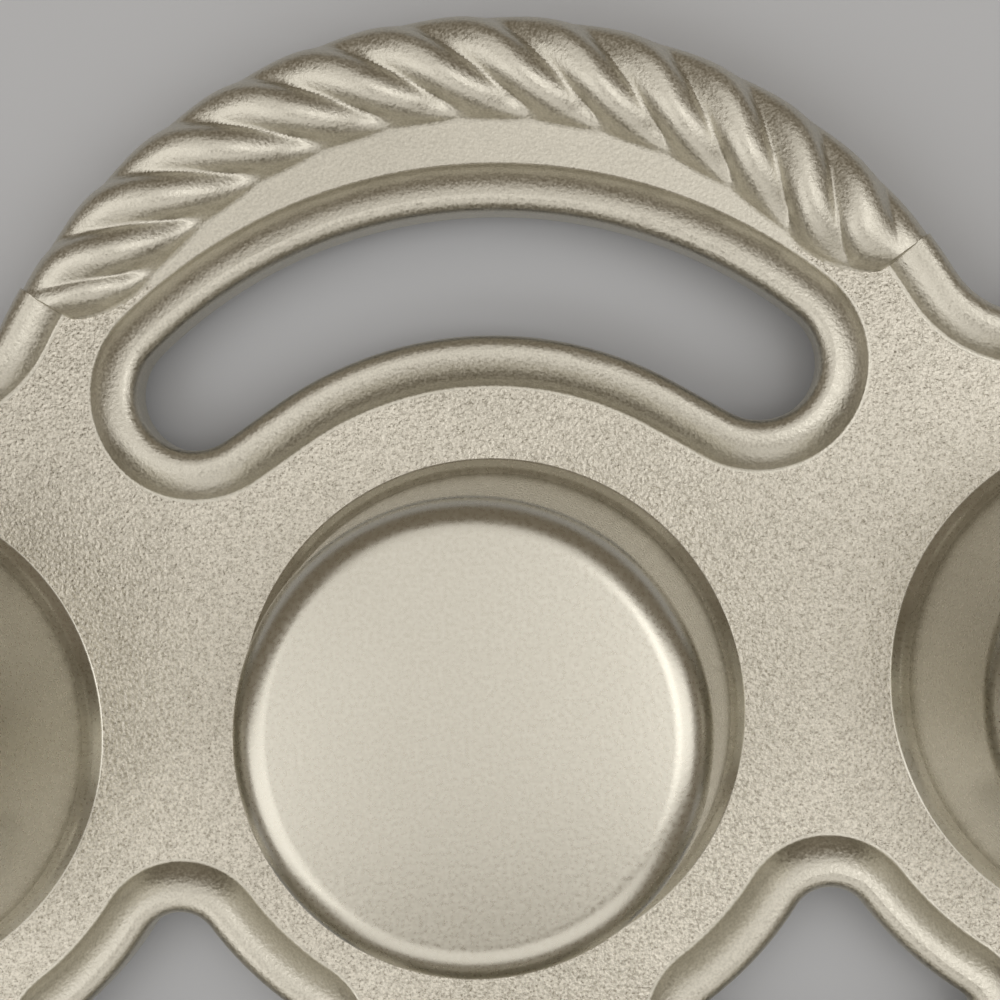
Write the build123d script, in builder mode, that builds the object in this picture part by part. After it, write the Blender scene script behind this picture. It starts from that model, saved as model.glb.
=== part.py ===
import math
import os

from build123d import *

# A cast popover pan that lies with its cup mouths down, so that its underside is on top.
# The origin is on the surface that it lies on, below the middle of the pan.
# Y runs along the pan from handle to handle, X across it, and Z from the mouths to the cups' bottoms.

# Cups
cup_columns = 3
cup_rows = 4
cup_pitch = 75.0
cup_height = 35.6
cup_mouth_radius = 25.7
cup_wall = 2.4
cup_floor = 2.8
cup_draft_angle = 6.8
cup_bottom_rounding = 4.2
cup_inner_rounding = 3.4
cup_root_fillet = 1.5
cup_lip_rounding = 1.0

# Deck, and the rims that stiffen its openings and its edge
deck_thickness = 3.5
web_width = 12.05
web_valley_radius = 12.0
flange_width = 14.3
window_tip_radius = 4.5
bead_width = 5.75
bead_rise = 2.2
bead_edge_rounding = 1.85
bead_root_fillet = 0.4
rim_lower_rounding = 0.5

# Handles
slot_height = 14.35
slot_span_share = 0.52
slot_end_radius = 6.75
slot_end_gap = 0.5
handle_band_width = 4.65
handle_outer_radius = 63.2
handle_notch_radius = 10.0

# Twisted rope along each handle
rope_diameter = 12.4
rope_strands = 4
rope_lead = 36.7
rope_start_turn = 73
rope_groove_depth = 1.1
rope_groove_fade_share = 2.8
rope_end_gap = 5.2
rope_tip_angle = 11.0
rope_tip_share = 0.5
rope_sections_per_lead = 12

# Sizes that follow from those above
rim_width = bead_width + bead_root_fillet
rim_crest_height = deck_thickness + bead_rise
rope_radius = rope_diameter / 2
mouth_level = rope_radius - deck_thickness / 2
cup_slope = math.tan(math.radians(cup_draft_angle))
cup_wall_across = cup_wall / math.cos(math.radians(cup_draft_angle))
cup_root_radius = cup_mouth_radius - deck_thickness * cup_slope + cup_wall_across
collar_radius = cup_root_radius + cup_root_fillet
window_radius = collar_radius + web_width
flange_radius = collar_radius + flange_width
end_row_offset = cup_pitch * (cup_rows - 1) / 2
side_column_offset = cup_pitch * (cup_columns - 1) / 2
handle_reach = flange_radius + slot_height + rim_width + handle_band_width + rope_diameter
handle_centre_offset = end_row_offset + handle_reach - handle_outer_radius
slot_half_span = handle_outer_radius * slot_span_share
rope_line_radius = handle_outer_radius - rope_radius
touching_share = 0.999999

cup_places = [
    (cup_pitch * column - side_column_offset, cup_pitch * row - end_row_offset)
    for row in range(cup_rows)
    for column in range(cup_columns)
]
window_places = [
    (cup_pitch * (column + 0.5) - side_column_offset, cup_pitch * (row + 0.5) - end_row_offset)
    for row in range(cup_rows - 1)
    for column in range(cup_columns - 1)
]


# Outlines are chains of circles that touch, or that a straight line joins.
# A circle is (centre, radius, side): side is 1 where its centre lies on the metal's side of the outline
# and -1 where it lies on the open side. An outline runs with the metal on its left.
def leave_and_meet(first, second, inset):
    """The points where an outline leaves one circle and meets the next, moved into the metal by inset."""
    (x1, y1), radius1, side1 = first
    (x2, y2), radius2, side2 = second
    apart = math.hypot(x2 - x1, y2 - y1)
    reach1 = side1 * radius1 - inset
    reach2 = side2 * radius2 - inset
    closeness = (reach2 - reach1) / apart
    if abs(closeness) > touching_share:
        closeness = round(closeness)
    lean = math.acos(closeness)
    heading = math.atan2(y2 - y1, x2 - x1) + lean
    left = (math.cos(heading), math.sin(heading))
    leave = (x1 - reach1 * left[0], y1 - reach1 * left[1])
    meet = (x2 - reach2 * left[0], y2 - reach2 * left[1])
    return leave, meet


def arc_between(circle, start, end):
    """The arc of a circle from start to end, counter-clockwise if the metal holds its centre."""
    (x, y), _, side = circle
    first = math.degrees(math.atan2(start[1] - y, start[0] - x))
    last = math.degrees(math.atan2(end[1] - y, end[0] - x))
    sweep_angle = (last - first) * side % 360 * side
    return CenterArc((x, y), math.hypot(start[0] - x, start[1] - y), first, sweep_angle)


def closed_outline(circles, inset=0, level=0):
    """All edges of a closed outline, moved into the metal by inset, at a height."""
    with BuildLine(Plane.XY.offset(level)) as outline:
        for index, circle in enumerate(circles):
            following = circles[(index + 1) % len(circles)]
            _, start = leave_and_meet(circles[index - 1], circle, inset)
            end, meet = leave_and_meet(circle, following, inset)
            arc_between(circle, start, end)
            if math.dist(end, meet) > bead_root_fillet:
                Line(end, meet)
    return outline.line


def open_outline(circles, start, end, level):
    """The edges from start on the first circle to end on the last, at a height."""
    with BuildLine(Plane.XY.offset(level)) as outline:
        for index, circle in enumerate(circles):
            if index > 0:
                _, start = leave_and_meet(circles[index - 1], circle, 0)
            stop = end
            if index < len(circles) - 1:
                stop, _ = leave_and_meet(circle, circles[index + 1], 0)
            arc_between(circle, start, stop)
    return outline.line


def valley_between(first, second, radius):
    """The circle that rounds the notch on the right of the way from one convex circle to the next."""
    (x1, y1), radius1, _ = first
    (x2, y2), radius2, _ = second
    apart = math.hypot(x2 - x1, y2 - y1)
    along = (apart**2 + (radius1 + radius) ** 2 - (radius2 + radius) ** 2) / (2 * apart)
    aside = math.sqrt((radius1 + radius) ** 2 - along**2)
    ahead = ((x2 - x1) / apart, (y2 - y1) / apart)
    centre = (x1 + along * ahead[0] + aside * ahead[1], y1 + along * ahead[1] - aside * ahead[0])
    return centre, radius, -1


def side_circles(side):
    """The edge from one handle to the other, along the cups on the side of x that side gives."""
    row_order = range(cup_rows) if side > 0 else reversed(range(cup_rows))
    chain = [((0, -side * handle_centre_offset), handle_outer_radius, 1)]
    for row in row_order:
        chain.append(((side * side_column_offset, cup_pitch * row - end_row_offset), flange_radius, 1))
    chain.append(((0, side * handle_centre_offset), handle_outer_radius, 1))
    circles = [chain[0]]
    for index in range(1, len(chain)):
        at_handle = index == 1 or index == len(chain) - 1
        radius = handle_notch_radius if at_handle else web_valley_radius
        circles.append(valley_between(chain[index - 1], chain[index], radius))
        circles.append(chain[index])
    return circles


def edge_circles():
    """The pan's whole edge, counter-clockwise."""
    return side_circles(1)[:-1] + side_circles(-1)[:-1]


def window_circles(place):
    """The four-pointed opening between four cups, clockwise."""
    half = cup_pitch / 2
    tip = half - math.sqrt((window_radius + window_tip_radius) ** 2 - half**2)
    circles = []
    for turn in range(4):
        across = (round(math.cos(math.pi * turn / 2)), -round(math.sin(math.pi * turn / 2)))
        beside = (across[0] + across[1], across[1] - across[0])
        tip_centre = (place[0] + tip * across[0], place[1] + tip * across[1])
        cup_centre = (place[0] + half * beside[0], place[1] + half * beside[1])
        circles.append((tip_centre, window_tip_radius, -1))
        circles.append((cup_centre, window_radius, 1))
    return circles


def slot_circles(end):
    """The finger slot between the end row's middle cup and the handle, clockwise."""
    end_reach = flange_radius + slot_end_radius + slot_end_gap
    end_height = math.sqrt(end_reach**2 - slot_half_span**2)
    top_reach = flange_radius + slot_height - slot_end_radius
    arch_centre = (top_reach**2 - end_reach**2) / (2 * (top_reach - end_height))
    arch_radius = flange_radius + slot_height - arch_centre
    row = end * end_row_offset
    return [
        ((0, row), flange_radius, 1),
        ((-end * slot_half_span, row + end * end_height), slot_end_radius, -1),
        ((0, row + end * arch_centre), arch_radius, -1),
        ((end * slot_half_span, row + end * end_height), slot_end_radius, -1),
    ]


def sweep_rim(path):
    """Carries the rim's section along each edge of a path that has the metal on its left."""
    for edge in path.edges():
        ahead = edge % 0
        inward = Vector(-ahead.Y, ahead.X, 0)
        section_plane = Plane(edge @ 0, x_dir=inward, z_dir=ahead)
        with BuildSketch(section_plane) as section:
            with BuildLine():
                Line((0, 0), (0, rim_crest_height - bead_edge_rounding))
                TangentArc(
                    (0, rim_crest_height - bead_edge_rounding),
                    (bead_edge_rounding, rim_crest_height),
                    tangent=(0, 1),
                )
                TangentArc((bead_edge_rounding, rim_crest_height), (bead_width, deck_thickness), tangent=(1, 0))
                Line((bead_width, deck_thickness), (rim_width, deck_thickness))
                Line((rim_width, deck_thickness), (rim_width, 0))
                Line((rim_width, 0), (0, 0))
            make_face()
            fillet(section.vertices().sort_by_distance((0, 0))[0], rim_lower_rounding)
            fillet(section.vertices().sort_by_distance((bead_width, deck_thickness))[0], bead_root_fillet)
        if edge.geom_type == GeomType.CIRCLE:
            upward = math.copysign(1, (edge.arc_center - edge @ 0).dot(inward))
            turned = math.degrees(edge.length / edge.radius)
            revolve(section.sketch, axis=Axis(edge.arc_center, (0, 0, upward)), revolution_arc=turned)
        else:
            extrude(section.sketch, amount=edge.length)


def cell_span(place, outermost):
    """Where a cup's cell of the deck starts and ends along one axis."""
    low = handle_reach if place <= -outermost else cup_pitch / 2
    high = handle_reach if place >= outermost else cup_pitch / 2
    return place - low, place + high


def groove_bottom(angle):
    """How far a groove's bottom is from the rope's middle: the groove fades out on the side of the band."""
    full_share = min(1, rope_groove_fade_share * (1 + math.cos(math.radians(angle))))
    return rope_radius - rope_groove_depth * full_share**2 * (3 - 2 * full_share)


def finish(solid, name):
    """Labels a piece with its node's name and writes it."""
    solid.label = name
    export_step(solid, f"parts/{name}.step")
    print(name, round(solid.volume))


os.makedirs("parts", exist_ok=True)

# Cups, each with the collar that seats in the deck
floor_level = cup_height - cup_floor
foot_radius = cup_root_radius - (cup_height - deck_thickness) * cup_slope
well_radius = cup_mouth_radius - floor_level * cup_slope
for number, (cup_x, cup_y) in enumerate(cup_places, start=1):
    with BuildPart() as cup:
        with BuildSketch(Plane((cup_x, cup_y, mouth_level), x_dir=(1, 0, 0), z_dir=(0, -1, 0))):
            with BuildLine():
                outside = FilletPolyline(
                    (0, cup_height),
                    (foot_radius, cup_height),
                    (cup_root_radius, deck_thickness),
                    (collar_radius, deck_thickness),
                    radius=[cup_bottom_rounding, cup_root_fillet],
                )
                inside = FilletPolyline(
                    (collar_radius, 0),
                    (cup_mouth_radius, 0),
                    (well_radius, floor_level),
                    (0, floor_level),
                    radius=[cup_lip_rounding, cup_inner_rounding],
                )
                Line(outside @ 1, inside @ 0)
                Line(inside @ 1, outside @ 0)
            make_face()
        revolve(axis=Axis((cup_x, cup_y, 0), (0, 0, 1)))
    finish(cup.part, f"cup_{number}")

# Rims round the openings between the cups
for number, place in enumerate(window_places, start=1):
    with BuildPart() as window_rim:
        sweep_rim(closed_outline(window_circles(place), level=mouth_level))
    finish(window_rim.part, f"window_rim_{number}")

# Rims round the finger slots
slot_rims = {}
for end_name, end in (("front", -1), ("back", 1)):
    with BuildPart() as slot_rim:
        sweep_rim(closed_outline(slot_circles(end), level=mouth_level))
    slot_rims[end] = slot_rim.part
    finish(slot_rim.part, f"slot_rim_{end_name}")

# Rims along the pan's two long edges, from one handle's rope to the other's
notch_x, notch_y = side_circles(1)[-2][0]
notch_angle = math.degrees(math.atan2(notch_x, notch_y - handle_centre_offset))
rope_half_angle = notch_angle - math.degrees(rope_end_gap / handle_outer_radius)
for side_name, side in (("right", 1), ("left", -1)):
    turn = math.radians(rope_half_angle)
    start = (
        side * handle_outer_radius * math.sin(turn),
        -side * (handle_centre_offset + handle_outer_radius * math.cos(turn)),
    )
    with BuildPart() as edge_rim:
        sweep_rim(open_outline(side_circles(side), start, (start[0], -start[1]), mouth_level))
    finish(edge_rim.part, f"edge_rim_{side_name}")

# Deck, in one panel for each cup, and the band of each handle between its slot and its rope
with BuildSketch(Plane.XY.offset(mouth_level)) as deck_outline:
    make_face(closed_outline(edge_circles(), rim_width).edges())
    for place in window_places:
        make_face(closed_outline(window_circles(place), rim_width).edges(), mode=Mode.SUBTRACT)
    for end in (-1, 1):
        make_face(closed_outline(slot_circles(end), rim_width).edges(), mode=Mode.SUBTRACT)
    with Locations(*cup_places):
        Circle(collar_radius, mode=Mode.SUBTRACT)

for number, (cup_x, cup_y) in enumerate(cup_places, start=1):
    x1, x2 = cell_span(cup_x, side_column_offset)
    y1, y2 = cell_span(cup_y, end_row_offset)
    with BuildSketch(Plane.XY.offset(mouth_level)) as cell:
        add(deck_outline.sketch)
        with Locations(((x1 + x2) / 2, (y1 + y2) / 2)):
            Rectangle(x2 - x1, y2 - y1, mode=Mode.INTERSECT)
    panel_face, *band_faces = cell.sketch.faces().sort_by_distance(Vector(cup_x, cup_y, mouth_level))
    with BuildPart() as deck_panel:
        extrude(panel_face, amount=deck_thickness)
    finish(deck_panel.part, f"deck_panel_{number}")
    for band_face in band_faces:
        with BuildPart() as handle_band:
            extrude(band_face, amount=deck_thickness)
        finish(handle_band.part, "handle_band_front" if cup_y < 0 else "handle_band_back")

# Twisted ropes, each a lobed section that turns as it follows the handle and shrinks into the rim at its tips
step_angle = math.degrees(rope_lead / rope_line_radius) / rope_sections_per_lead
step_count = round(2 * rope_half_angle / step_angle)
for end_name, end in (("front", -1), ("back", 1)):
    with BuildPart() as rope:
        for step in range(step_count + 1):
            handle_angle = rope_half_angle * (2 * step / step_count - 1)
            tip = max(0, (abs(handle_angle) - rope_half_angle + rope_tip_angle) / rope_tip_angle)
            share = 1 - (1 - rope_tip_share) * tip**2
            line_radius = handle_outer_radius - rope_radius * share
            turn = math.radians(handle_angle)
            outward = (end * math.sin(turn), end * math.cos(turn))
            section_plane = Plane(
                (line_radius * outward[0], end * handle_centre_offset + line_radius * outward[1], rope_radius),
                x_dir=(outward[0], outward[1], 0),
                z_dir=(outward[1], -outward[0], 0),
            )
            along = turn * rope_line_radius
            twist = rope_start_turn + 360 * along / rope_lead
            with BuildSketch(section_plane):
                with BuildLine():
                    for strand in range(rope_strands):
                        valley = twist + 360 * strand / rope_strands
                        crest = valley + 180 / rope_strands
                        following = valley + 360 / rope_strands
                        ThreePointArc(
                            Vector(groove_bottom(valley) * share, 0).rotate(Axis.Z, valley),
                            Vector(rope_radius * share, 0).rotate(Axis.Z, crest),
                            Vector(groove_bottom(following) * share, 0).rotate(Axis.Z, following),
                        )
                make_face()
        loft()
        with BuildSketch(Plane.XY.offset(mouth_level)):
            with Locations((0, end * handle_centre_offset)):
                Circle(handle_outer_radius - rim_width)
        extrude(amount=deck_thickness, mode=Mode.SUBTRACT)
        add(slot_rims[end], mode=Mode.SUBTRACT)
    finish(rope.part, f"rope_{end_name}")
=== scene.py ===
import bmesh, bpy, math
from mathutils import Matrix, Vector


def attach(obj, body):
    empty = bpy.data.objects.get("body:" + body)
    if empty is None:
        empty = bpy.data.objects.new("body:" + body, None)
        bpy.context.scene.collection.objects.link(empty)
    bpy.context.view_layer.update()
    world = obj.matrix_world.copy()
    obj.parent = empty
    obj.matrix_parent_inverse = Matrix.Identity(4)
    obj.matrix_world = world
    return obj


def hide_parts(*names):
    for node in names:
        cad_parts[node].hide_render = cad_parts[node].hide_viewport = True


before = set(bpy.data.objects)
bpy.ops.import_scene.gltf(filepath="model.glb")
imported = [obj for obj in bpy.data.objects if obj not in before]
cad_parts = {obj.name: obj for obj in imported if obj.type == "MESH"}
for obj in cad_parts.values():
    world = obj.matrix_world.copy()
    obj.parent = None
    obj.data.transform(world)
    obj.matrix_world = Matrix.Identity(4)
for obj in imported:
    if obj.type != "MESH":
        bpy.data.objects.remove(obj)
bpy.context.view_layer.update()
print("frame loaded:", len(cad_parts), "nodes")

mm = 0.001


# Colours are written as sRGB hex and turned linear here
def hexColor(code):
    channels = [int(code[i:i + 2], 16) / 255 for i in (0, 2, 4)]
    linear = [c / 12.92 if c <= 0.04045 else ((c + 0.055) / 1.055) ** 2.4 for c in channels]
    return (*linear, 1)


def addNode(tree, kind, settings=None, **links):
    node = tree.nodes.new(kind)
    for name, value in (settings or {}).items():
        if name in node.inputs:
            node.inputs[name].default_value = value
        else:
            setattr(node, name, value)
    for name, source in links.items():  # i0, i1... are sockets by number
        key = int(name[1:]) if name[0] == "i" and name[1:].isdigit() else name.replace("_", " ")
        tree.links.new(source, node.inputs[key])
    return node


# Cast aluminium under a champagne metallic coating. The sand mould's grain shows through on the deck as
# bumps and as a peppery speckle in the colour, partly the grain's own tone and partly painted glints; the
# coating lies smoother on the beads, and smoothest on the cups
coating = {
    "metallic": 1,
    "cloudMm": 22,
    "cloudDetail": 3,
    "gritDetail": 2,
    "pepperDetail": 1,
    "fleckLow": 0.32,
    "fleckHigh": 0.68,
    "deck": {
        "base": "efeade", "shade": "979285", "pepperMm": 0.3, "pepper": 0.7,
        "gritMm": 0.42, "gritDepthMm": 0.17, "roughness": 0.36, "speckle": 0.12,
    },
    "bead": {
        "base": "dedace", "shade": "b8b4a8", "pepperMm": 0.3, "pepper": 0.6,
        "gritMm": 0.42, "gritDepthMm": 0.055, "roughness": 0.4, "speckle": 0.1,
    },
    "cup": {
        "base": "d5d2c7", "shade": "c3bfb3", "pepperMm": 0.45, "pepper": 0.45,
        "gritMm": 0.6, "gritDepthMm": 0.012, "roughness": 0.29, "speckle": 0.03,
    },
}


def makeCoating(name, look):
    material = bpy.data.materials.new(name)
    material.use_nodes = True
    tree = material.node_tree
    tree.nodes.clear()
    place = addNode(tree, "ShaderNodeTexCoord").outputs["Object"]
    cloudScale = 1 / (coating["cloudMm"] * mm)
    gritScale = 1 / (look["gritMm"] * mm)
    pepperScale = 1 / (look["pepperMm"] * mm)
    clouds = addNode(
        tree, "ShaderNodeTexNoise", {"Scale": cloudScale, "Detail": coating["cloudDetail"]}, Vector=place,
    )
    grit = addNode(
        tree, "ShaderNodeTexNoise", {"Scale": gritScale, "Detail": coating["gritDetail"]}, Vector=place,
    )
    pepper = addNode(
        tree, "ShaderNodeTexNoise", {"Scale": pepperScale, "Detail": coating["pepperDetail"]}, Vector=place,
    )
    grainAndGlintFlecks = addNode(  # spreads the noise over the whole way from shade to base
        tree, "ShaderNodeMapRange",
        {"From Min": coating["fleckLow"], "From Max": coating["fleckHigh"]}, Value=pepper.outputs["Fac"],
    )
    peppered = addNode(
        tree, "ShaderNodeMix", {"data_type": "FLOAT"},
        i2=clouds.outputs["Fac"], i3=grainAndGlintFlecks.outputs["Result"],
    )
    peppered.inputs[0].default_value = look["pepper"]
    # the tint's random light and dark pepper is partly the grain's own tone and partly painted glints
    tint = addNode(tree, "ShaderNodeMix", {"data_type": "RGBA"}, i0=peppered.outputs[0])
    tint.inputs[6].default_value = hexColor(look["shade"])  # the two colour sockets, A and B
    tint.inputs[7].default_value = hexColor(look["base"])
    bump = addNode(
        tree, "ShaderNodeBump",
        {"Strength": 1, "Distance": look["gritDepthMm"] * mm}, Height=grit.outputs["Fac"],
    )
    shine = addNode(
        tree, "ShaderNodeMapRange",
        {"To Min": look["roughness"] - look["speckle"], "To Max": look["roughness"] + look["speckle"]},
        Value=grainAndGlintFlecks.outputs["Result"],
    )
    shader = addNode(
        tree, "ShaderNodeBsdfPrincipled", {"Metallic": coating["metallic"]},
        Base_Color=tint.outputs[2], Roughness=shine.outputs["Result"], Normal=bump.outputs["Normal"],
    )
    addNode(tree, "ShaderNodeOutputMaterial", Surface=shader.outputs["BSDF"])
    return material


deckCoating = makeCoating("sand-cast aluminium, champagne coating", coating["deck"])
beadCoating = makeCoating("cast aluminium bead, champagne coating", coating["bead"])
cupCoating = makeCoating("smooth-cast aluminium, champagne coating", coating["cup"])
for name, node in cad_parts.items():
    node.data.materials.clear()
    node.data.materials.append(deckCoating if name.startswith("deck_panel") else beadCoating)
print("coatings made")


def deselectAll():
    bpy.ops.object.select_all(action="DESELECT")


# Gives a new piece its coating, and puts it in a CAD node's place
def finishPiece(piece, node, material):
    piece.data.materials.clear()
    piece.data.materials.append(material)
    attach(piece, "root")
    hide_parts(node)


# Cups: half the section is drawn point by point from the axis, its corners are rounded, and it
# is spun once round. The foot flares in a short skirt, with a dark line where it leaves the wall
cup = {
    "pitchMm": 75,
    "columns": 3,
    "rows": 4,
    "mouthLevelMm": 4.45,
    "deckMm": 3.5,
    "heightMm": 35.6,
    "floorMm": 32.8,
    "mouthRadiusMm": 25.7,
    "wallFootRadiusMm": 27.7,
    "draftDegrees": 6.8,
    "bottomRoundingMm": 4.2,
    "innerRoundingMm": 3.4,
    "skirtHeightMm": 2.2,
    "skirtKneeRadiusMm": 28.1,
    "skirtKneeHeightMm": 1.0,
    "skirtRadiusMm": 29.2,
    "skirtTopRoundingMm": 0.5,
    "skirtKneeRoundingMm": 2.5,
    "skirtFootRoundingMm": 0.5,
    "skirtSinkMm": 0.02,
    "lipRoundingMm": 1.0,
    "arcSteps": 10,
    "spinSteps": 144,
    "mergeMm": 0.01,
    "smoothAngle": 30,
}


# Rounds one corner of a drawn section, between its neighbours
def roundCorner(piece, before, corner, after, radius):
    turn = math.pi - (before - corner).angle(after - corner)
    bpy.ops.mesh.select_all(action="DESELECT")
    shape = bmesh.from_edit_mesh(piece.data)
    min(shape.verts, key=lambda vertex: (vertex.co - corner).length).select = True
    shape.select_flush_mode()
    bpy.ops.mesh.bevel(
        affect="VERTICES", offset=radius * mm * math.tan(turn / 2), segments=cup["arcSteps"],
    )


def makeCup():
    slope = math.tan(math.radians(cup["draftDegrees"]))
    topRadius = cup["wallFootRadiusMm"] - (cup["heightMm"] - cup["deckMm"]) * slope
    skirtTop = cup["deckMm"] + cup["skirtHeightMm"]
    skirtFoot = cup["deckMm"] - cup["skirtSinkMm"]  # just under the deck's face, so they don't flicker
    section = [  # radius, height over the mouth, rounding
        (0, cup["heightMm"], 0),
        (topRadius, cup["heightMm"], cup["bottomRoundingMm"]),
        (cup["wallFootRadiusMm"] - cup["skirtHeightMm"] * slope, skirtTop, cup["skirtTopRoundingMm"]),
        (cup["skirtKneeRadiusMm"], cup["deckMm"] + cup["skirtKneeHeightMm"], cup["skirtKneeRoundingMm"]),
        (cup["skirtRadiusMm"], skirtFoot, cup["skirtFootRoundingMm"]),
        (cup["skirtRadiusMm"] + cup["skirtFootRoundingMm"], skirtFoot, 0),
        (cup["skirtRadiusMm"], cup["deckMm"] - cup["skirtFootRoundingMm"], 0),
        (cup["skirtRadiusMm"], 0, 0),
        (cup["mouthRadiusMm"], 0, cup["lipRoundingMm"]),
        (cup["mouthRadiusMm"] - cup["floorMm"] * slope, cup["floorMm"], cup["innerRoundingMm"]),
        (0, cup["floorMm"], 0),
    ]
    points = [
        Vector((radius, 0, cup["mouthLevelMm"] + height)) * mm for radius, height, rounding in section
    ]
    deselectAll()
    bpy.ops.mesh.primitive_plane_add(size=mm)
    piece = bpy.context.object
    bpy.ops.object.mode_set(mode="EDIT")
    bpy.ops.mesh.select_all(action="SELECT")
    bpy.ops.mesh.merge(type="CENTER")
    bpy.ops.transform.translate(value=points[0])
    for start, end in zip(points, points[1:]):
        bpy.ops.mesh.extrude_region_move(TRANSFORM_OT_translate={"value": end - start})
    for i in range(1, len(points) - 1):
        if section[i][2]:
            roundCorner(piece, points[i - 1], points[i], points[i + 1], section[i][2])
    bpy.ops.mesh.select_all(action="SELECT")
    bpy.ops.mesh.spin(steps=cup["spinSteps"], angle=math.tau, center=(0, 0, 0), axis=(0, 0, 1))
    bpy.ops.mesh.select_all(action="SELECT")
    bpy.ops.mesh.remove_doubles(threshold=cup["mergeMm"] * mm)
    bpy.ops.mesh.normals_make_consistent(inside=False)
    bpy.ops.object.mode_set(mode="OBJECT")
    bpy.ops.object.shade_smooth_by_angle(angle=math.radians(cup["smoothAngle"]))
    return piece


def makeCups():
    first = makeCup()
    for number in range(cup["columns"] * cup["rows"]):
        column, row = number % cup["columns"], number // cup["columns"]
        piece = first.copy()
        piece.data = first.data.copy()
        piece.name = piece.data.name = "turnedCup" + str(number + 1)
        x = (column - (cup["columns"] - 1) / 2) * cup["pitchMm"] * mm
        y = (row - (cup["rows"] - 1) / 2) * cup["pitchMm"] * mm
        piece.data.transform(Matrix.Translation((x, y, 0)))
        bpy.context.scene.collection.objects.link(piece)
        finishPiece(piece, "cup_" + str(number + 1), cupCoating)
    bpy.data.objects.remove(first)


makeCups()
print("cups turned")


# Rope of a handle: a grid is rolled round the handle's line and pressed into four strands in
# code, because the grooves fade out at the outer edge, at the tips, and where a small cove meets
# the band. A strand's groove is 0 deep at fadeEnd and all there at fadeStart, in degrees from
# outward, and has outerShare of its depth at outerStart
rope = {
    "radiusMm": 6.2,
    "lineRadiusMm": 57.0,
    "centreMm": 130.28,
    "halfAngle": 57.4,
    "strands": 4,
    "leadMm": 36.7,
    "startTurn": 73,
    "strandRadiusMm": 3.2,
    "grooveRoundingMm": 0.15,
    "fadeStart": 138,
    "fadeEnd": 166,
    "outerShare": 0.1,
    "outerStart": 12,
    "outerEnd": 54,
    "squareness": 2.8,  # 2 is round
    "tipAngle": 11,
    "tipShare": 0.66,
    "tipRoundingMm": 0.35,
    "tipInnerShare": 0.5,
    "tipEasingMm": 4,
    "deckHalfMm": 1.75,
    "coveMm": 0.4,
    "alongSteps": 400,
    "roundSteps": 200,
    "mergeMm": 0.002,
    "smoothAngle": 40,
}


def softStep(share):
    share = min(1, max(0, share))
    return share * share * (3 - 2 * share)


# How far the surface is from the rope's middle. The angle is from outward, and the phase is 0 in
# a groove
def ropeSurface(angle, phase):
    strandRadius = rope["strandRadiusMm"]
    inset = rope["radiusMm"] - strandRadius
    sector = math.tau / rope["strands"]

    def strand(offset):
        return inset * math.cos(offset) + math.sqrt(strandRadius ** 2 - (inset * math.sin(offset)) ** 2)

    bottom = strand(sector / 2)
    reach = bottom + math.hypot(strand(phase % sector - sector / 2) - bottom, rope["grooveRoundingMm"])
    turned = abs((math.degrees(angle) + 180) % 360 - 180)
    fade = softStep((rope["fadeEnd"] - turned) / (rope["fadeEnd"] - rope["fadeStart"]))
    outer = softStep((turned - rope["outerStart"]) / (rope["outerEnd"] - rope["outerStart"]))
    fade *= rope["outerShare"] + (1 - rope["outerShare"]) * outer
    return rope["radiusMm"] - max(0, rope["radiusMm"] - reach) * fade


# The rope's outer side is a little squarer than round, which keeps its top bright to the edge
def squareReach(angle):
    power = rope["squareness"]
    return (abs(math.cos(angle)) ** power + abs(math.sin(angle)) ** power) ** (-1 / power)


# How far the rope's inner side flares towards the band, just above and below it
def coveReach(height):
    above = min(rope["coveMm"], max(0, abs(height) - rope["deckHalfMm"]))
    return rope["coveMm"] - math.sqrt(rope["coveMm"] ** 2 - (rope["coveMm"] - above) ** 2)


def makeRope(name, end):
    deselectAll()
    bpy.ops.mesh.primitive_grid_add(
        x_subdivisions=rope["alongSteps"], y_subdivisions=rope["roundSteps"], size=2,
    )
    piece = bpy.context.object
    piece.name = piece.data.name = name
    half = math.radians(rope["halfAngle"])
    for vertex in piece.data.vertices:  # the grid runs from -1 to 1 both ways, closer at the tips
        bend = half * math.sin(vertex.co.x * math.pi / 2)
        angle = (vertex.co.y + 1) * math.pi
        tip = max(0, 1 - (rope["halfAngle"] - abs(math.degrees(bend))) / rope["tipAngle"])
        share = 1 - (1 - rope["tipShare"]) * tip ** 2
        left = min(1, (half - abs(bend)) * rope["lineRadiusMm"] / rope["tipRoundingMm"])
        dome = math.sqrt(max(0, 1 - (1 - left) ** 2))
        twist = math.radians(rope["startTurn"]) + math.tau * bend * rope["lineRadiusMm"] / rope["leadMm"]
        surface = ropeSurface(angle, angle - twist)
        reach = (surface + (rope["radiusMm"] - surface) * tip ** 2) * share * dome
        if math.cos(angle) > 0:
            reach *= squareReach(angle)
        out, up = reach * math.cos(angle), reach * math.sin(angle)
        if out < 0:  # at the tip the inner side draws in to the rim's width
            eased = min(1, (half - abs(bend)) * rope["lineRadiusMm"] / rope["tipEasingMm"])
            inner = rope["tipInnerShare"]
            out *= inner + (1 - inner) * math.sqrt(max(0, 1 - (1 - eased) ** 2))
            out -= coveReach(up) * dome
        line = rope["lineRadiusMm"] + rope["radiusMm"] * (1 - share) + out
        vertex.co = (
            end * line * math.sin(bend) * mm,
            end * (rope["centreMm"] + line * math.cos(bend)) * mm,
            (rope["radiusMm"] + up) * mm,
        )
    bpy.ops.object.mode_set(mode="EDIT")
    bpy.ops.mesh.select_all(action="SELECT")
    bpy.ops.mesh.remove_doubles(threshold=rope["mergeMm"] * mm)
    bpy.ops.mesh.normals_make_consistent(inside=False)
    bpy.ops.object.mode_set(mode="OBJECT")
    bpy.ops.object.shade_smooth_by_angle(angle=math.radians(rope["smoothAngle"]))
    return piece


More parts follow.
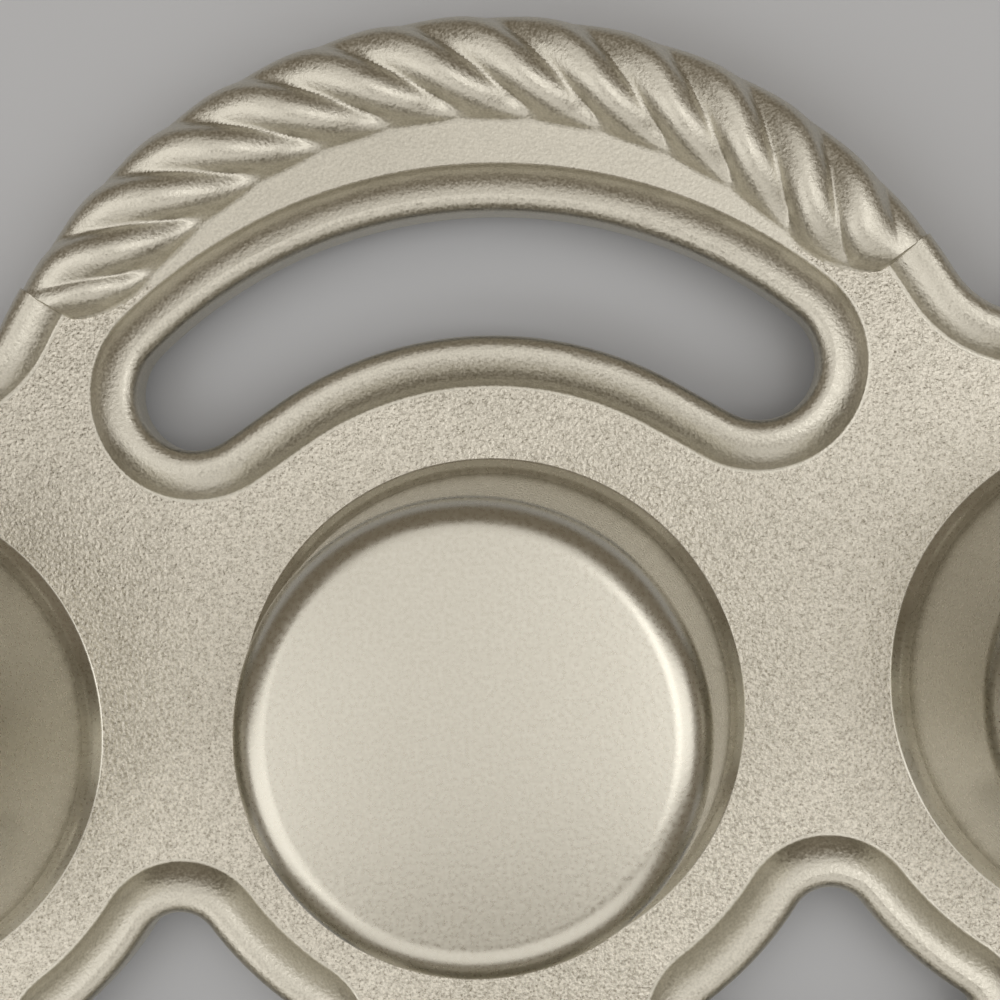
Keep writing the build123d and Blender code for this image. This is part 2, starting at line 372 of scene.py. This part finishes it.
for name, node, end in (("twistedRopeFront", "rope_front", -1), ("twistedRopeBack", "rope_back", 1)):
    finishPiece(makeRope(name, end), node, beadCoating)
print("ropes twisted")


# Floor: a plain pale sheet that the pan lies on
floor = {"color": "c2c4c8", "roughness": 0.9, "radius": 3, "edgeSteps": 128}


def makeFloor():
    deselectAll()
    bpy.ops.mesh.primitive_circle_add(
        vertices=floor["edgeSteps"], radius=floor["radius"], fill_type="NGON",
    )
    sheet = bpy.context.object
    sheet.name = "floor"
    material = bpy.data.materials.new("matt paper")
    material.use_nodes = True
    shader = material.node_tree.nodes["Principled BSDF"]
    shader.inputs["Base Color"].default_value = hexColor(floor["color"])
    shader.inputs["Roughness"].default_value = floor["roughness"]
    sheet.data.materials.append(material)


# Soft boxes high over the front, the left and the right, and a wide one overhead. None stands
# behind, so what faces the handle's side stays dark
lights = {
    "overhead": {"place": (0.0, 0.36, 1.3), "size": (1.3, 1.3), "watts": 4.1},
    "front": {"place": (0.0, -0.8, 0.8), "size": (1.6, 0.9), "watts": 3.9},
    "left": {"place": (-0.85, -0.2, 0.9), "size": (0.8, 1.1), "watts": 3.55},
    "right": {"place": (0.75, 0.05, 1.07), "size": (0.7, 1.2), "watts": 3.8},
}
room = {"color": "eedcc0", "strength": 0.24}
lightAim = (0, 0.1, 0)


def makeLights():
    for name, light in lights.items():
        data = bpy.data.lights.new(name, "AREA")
        data.shape = "RECTANGLE"
        data.size, data.size_y = light["size"]
        data.energy = light["watts"]
        lamp = bpy.data.objects.new(name, data)
        lamp.location = light["place"]
        lamp.rotation_euler = (Vector(lightAim) - lamp.location).to_track_quat("-Z", "Y").to_euler()
        bpy.context.scene.collection.objects.link(lamp)
    world = bpy.data.worlds.new("room")
    world.use_nodes = True
    tree = world.node_tree
    tree.nodes.clear()
    glow = addNode(
        tree, "ShaderNodeBackground", {"Color": hexColor(room["color"]), "Strength": room["strength"]},
    )
    addNode(tree, "ShaderNodeOutputWorld", Surface=glow.outputs[0])
    bpy.context.scene.world = world


# Camera: the photograph's, found from the outlines of its cup, slot and handle
view = {
    "place": (15.87, 131.28, 223.21),
    "right": (0.99665, -0.0506, -0.0643),
    "up": (0.05213, 0.99839, 0.02235),
    "focalPixels": 1859.6,
    "framePixels": 1000,
    "sensorMm": 36,
    "nearest": 0.01,
}


def makeCamera():
    data = bpy.data.cameras.new("photo camera")
    data.sensor_width = view["sensorMm"]
    data.lens = view["focalPixels"] / view["framePixels"] * view["sensorMm"]
    data.clip_start = view["nearest"]
    camera = bpy.data.objects.new("photo camera", data)
    right = Vector(view["right"]).normalized()
    back = right.cross(Vector(view["up"])).normalized()
    up = back.cross(right)
    turn = Matrix((right, up, back)).transposed().to_4x4()
    camera.matrix_world = Matrix.Translation(Vector(view["place"]) * mm) @ turn
    bpy.context.scene.collection.objects.link(camera)
    bpy.context.scene.camera = camera


makeFloor()
makeLights()
makeCamera()
bpy.context.scene.view_settings.view_transform = "Standard"
print("stage, lights and camera made")
